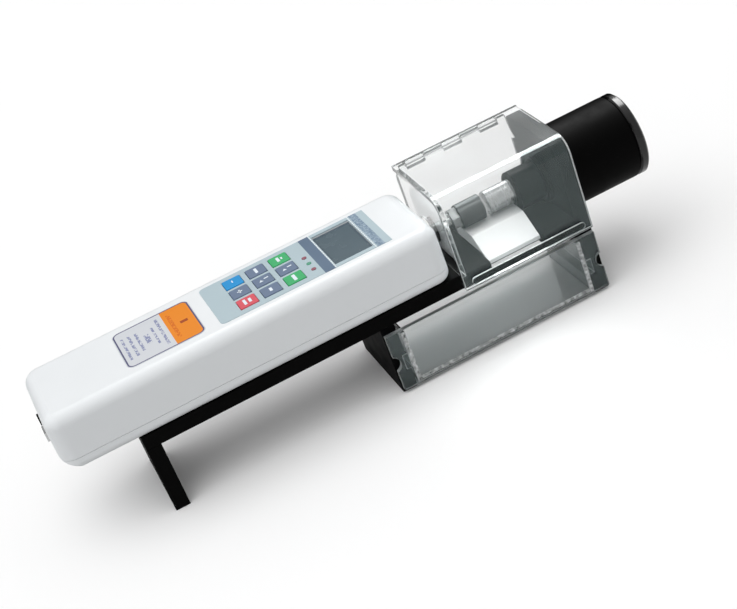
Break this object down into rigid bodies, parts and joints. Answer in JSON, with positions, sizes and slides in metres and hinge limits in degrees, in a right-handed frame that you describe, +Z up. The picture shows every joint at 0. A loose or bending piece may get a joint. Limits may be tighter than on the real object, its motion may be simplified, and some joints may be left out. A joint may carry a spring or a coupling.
{
  "type": "tablet hardness tester",
  "caption": "Bench tester on a black bracket: a digital force gauge with keypad and display, a hand knob that feeds a pusher at a tablet, a hinged clear lid and a clear drawer.",
  "frame": {"origin": "centre of the bottom of the bounding box, on the plane that the bracket stands on", "axes": "+X from the gauge's rear end to the knob, +Y from the drawer's front to the lid's hinge, +Z up"},
  "size_m": [0.363, 0.0708, 0.098],
  "materials": {
    "black_anodised": "matt black anodised aluminium plate",
    "white_housing": "white moulded plastic, fine satin",
    "panel_film": "pale blue-grey printed film with darker bands",
    "key_blue": "blue soft key",
    "key_grey": "slate grey soft key",
    "key_green": "green soft key",
    "key_red": "red soft key",
    "display_glass": "grey display window",
    "display_module": "display body",
    "status_light": "clear coloured lights, red and green",
    "label_film": "white film with an orange field and a thin dark border",
    "black_plastic": "smooth black plastic with a low shine",
    "black_steel": "blackened steel",
    "steel": "turned stainless steel",
    "grey_jaw": "satin grey hardened steel",
    "zinc_screw": "plated steel screws",
    "brass": "turned brass",
    "circuit_board": "green circuit board",
    "battery_wrap": "shrink-wrapped cells",
    "cell_aluminium": "milled aluminium",
    "white_rest": "white machined plastic",
    "clear_acrylic": "clear acrylic sheet with polished edges"
  },
  "bodies": {
    "frame": {"base_plate": "black_anodised", "rear_leg": "black_anodised", "left_side_plate": "black_anodised", "right_end_plate": "black_anodised", "frame_screws": "black_steel", "gauge_top_shell": "white_housing", "gauge_bottom_shell": "white_housing", "keypad_panel": "panel_film", "lcd_window": "display_glass", "lcd_module": "display_module", "status_leds": "status_light", "label_plate": "label_film", "key_domes": "steel", "main_circuit_board": "circuit_board", "board_standoffs": "brass", "board_screws": "zinc_screw", "battery_pack": "battery_wrap", "charging_socket": "black_plastic", "data_socket": "steel", "load_cell": "cell_aluminium", "load_cell_bracket": "cell_aluminium", "load_cell_screws": "zinc_screw", "force_rod": "steel", "rod_bush": "black_plastic", "shell_screws": "zinc_screw", "gauge_screws": "black_steel", "gauge_inserts": "brass", "fixed_jaw": "grey_jaw", "jaw_lock_nut": "steel", "tablet_rest": "white_rest", "rest_screws": "black_steel", "guide_sleeve": "black_steel", "guide_key": "steel", "sleeve_ring_nut": "black_steel", "screw_bush": "brass", "chamber_side_wall": "clear_acrylic", "chamber_rear_wall": "clear_acrylic", "hinge_pin": "steel"},
    "lid": {"lid": "clear_acrylic", "lid_finger_strip": "clear_acrylic"},
    "drawer": {"drawer_front": "clear_acrylic", "drawer_tray": "clear_acrylic", "drawer_runners": "clear_acrylic"},
    "knob": {"knob": "black_plastic", "knob_pin": "steel", "knob_cap": "black_plastic", "knob_cap_screw": "black_steel", "feed_screw": "steel", "screw_collar": "brass"},
    "pusher": {"pusher": "steel"},
    "key_front_left": {"key_front_left": "key_red"},
    "key_front_centre": {"key_front_centre": "key_grey"},
    "key_front_right": {"key_front_right": "key_green"},
    "key_middle_left": {"key_middle_left": "key_grey"},
    "key_middle_centre": {"key_middle_centre": "key_grey"},
    "key_middle_right": {"key_middle_right": "key_grey"},
    "key_back_left": {"key_back_left": "key_blue"},
    "key_back_centre": {"key_back_centre": "key_grey"},
    "key_back_right": {"key_back_right": "key_green"}
  },
  "joints": [
    {"name": "lid_hinge", "type": "hinge", "parent": "frame", "child": "lid", "pos_m": [0.09065, 0.0326, 0.093], "axis": [-1, 0, 0], "range_deg": [0, 110]},
    {"name": "drawer_slide", "type": "slide", "parent": "frame", "child": "drawer", "axis": [0, -1, 0], "range_m": [0, 0.04]},
    {"name": "knob_turn", "type": "hinge", "parent": "frame", "child": "knob", "pos_m": [0.1336, 0.0015, 0.0653], "axis": [-1, 0, 0], "range_deg": [-3600, 540]},
    {"name": "pusher_slide", "type": "slide", "parent": "frame", "child": "pusher", "axis": [-1, 0, 0], "range_m": [-0.01501, 0.00226]},
    {"name": "key_front_left_press", "type": "slide", "parent": "frame", "child": "key_front_left", "axis": [0, 0, -1], "range_m": [0, 0.0004], "stiffness_N_per_m": 2000},
    {"name": "key_front_centre_press", "type": "slide", "parent": "frame", "child": "key_front_centre", "axis": [0, 0, -1], "range_m": [0, 0.0004], "stiffness_N_per_m": 2000},
    {"name": "key_front_right_press", "type": "slide", "parent": "frame", "child": "key_front_right", "axis": [0, 0, -1], "range_m": [0, 0.0004], "stiffness_N_per_m": 2000},
    {"name": "key_middle_left_press", "type": "slide", "parent": "frame", "child": "key_middle_left", "axis": [0, 0, -1], "range_m": [0, 0.0004], "stiffness_N_per_m": 2000},
    {"name": "key_middle_centre_press", "type": "slide", "parent": "frame", "child": "key_middle_centre", "axis": [0, 0, -1], "range_m": [0, 0.0004], "stiffness_N_per_m": 2000},
    {"name": "key_middle_right_press", "type": "slide", "parent": "frame", "child": "key_middle_right", "axis": [0, 0, -1], "range_m": [0, 0.0004], "stiffness_N_per_m": 2000},
    {"name": "key_back_left_press", "type": "slide", "parent": "frame", "child": "key_back_left", "axis": [0, 0, -1], "range_m": [0, 0.0004], "stiffness_N_per_m": 2000},
    {"name": "key_back_centre_press", "type": "slide", "parent": "frame", "child": "key_back_centre", "axis": [0, 0, -1], "range_m": [0, 0.0004], "stiffness_N_per_m": 2000},
    {"name": "key_back_right_press", "type": "slide", "parent": "frame", "child": "key_back_right", "axis": [0, 0, -1], "range_m": [0, 0.0004], "stiffness_N_per_m": 2000}
  ],
  "couplings": [
    {"joint": "pusher_slide", "follows": "knob_turn", "m_per_rad": 0.00023873}
  ]
}
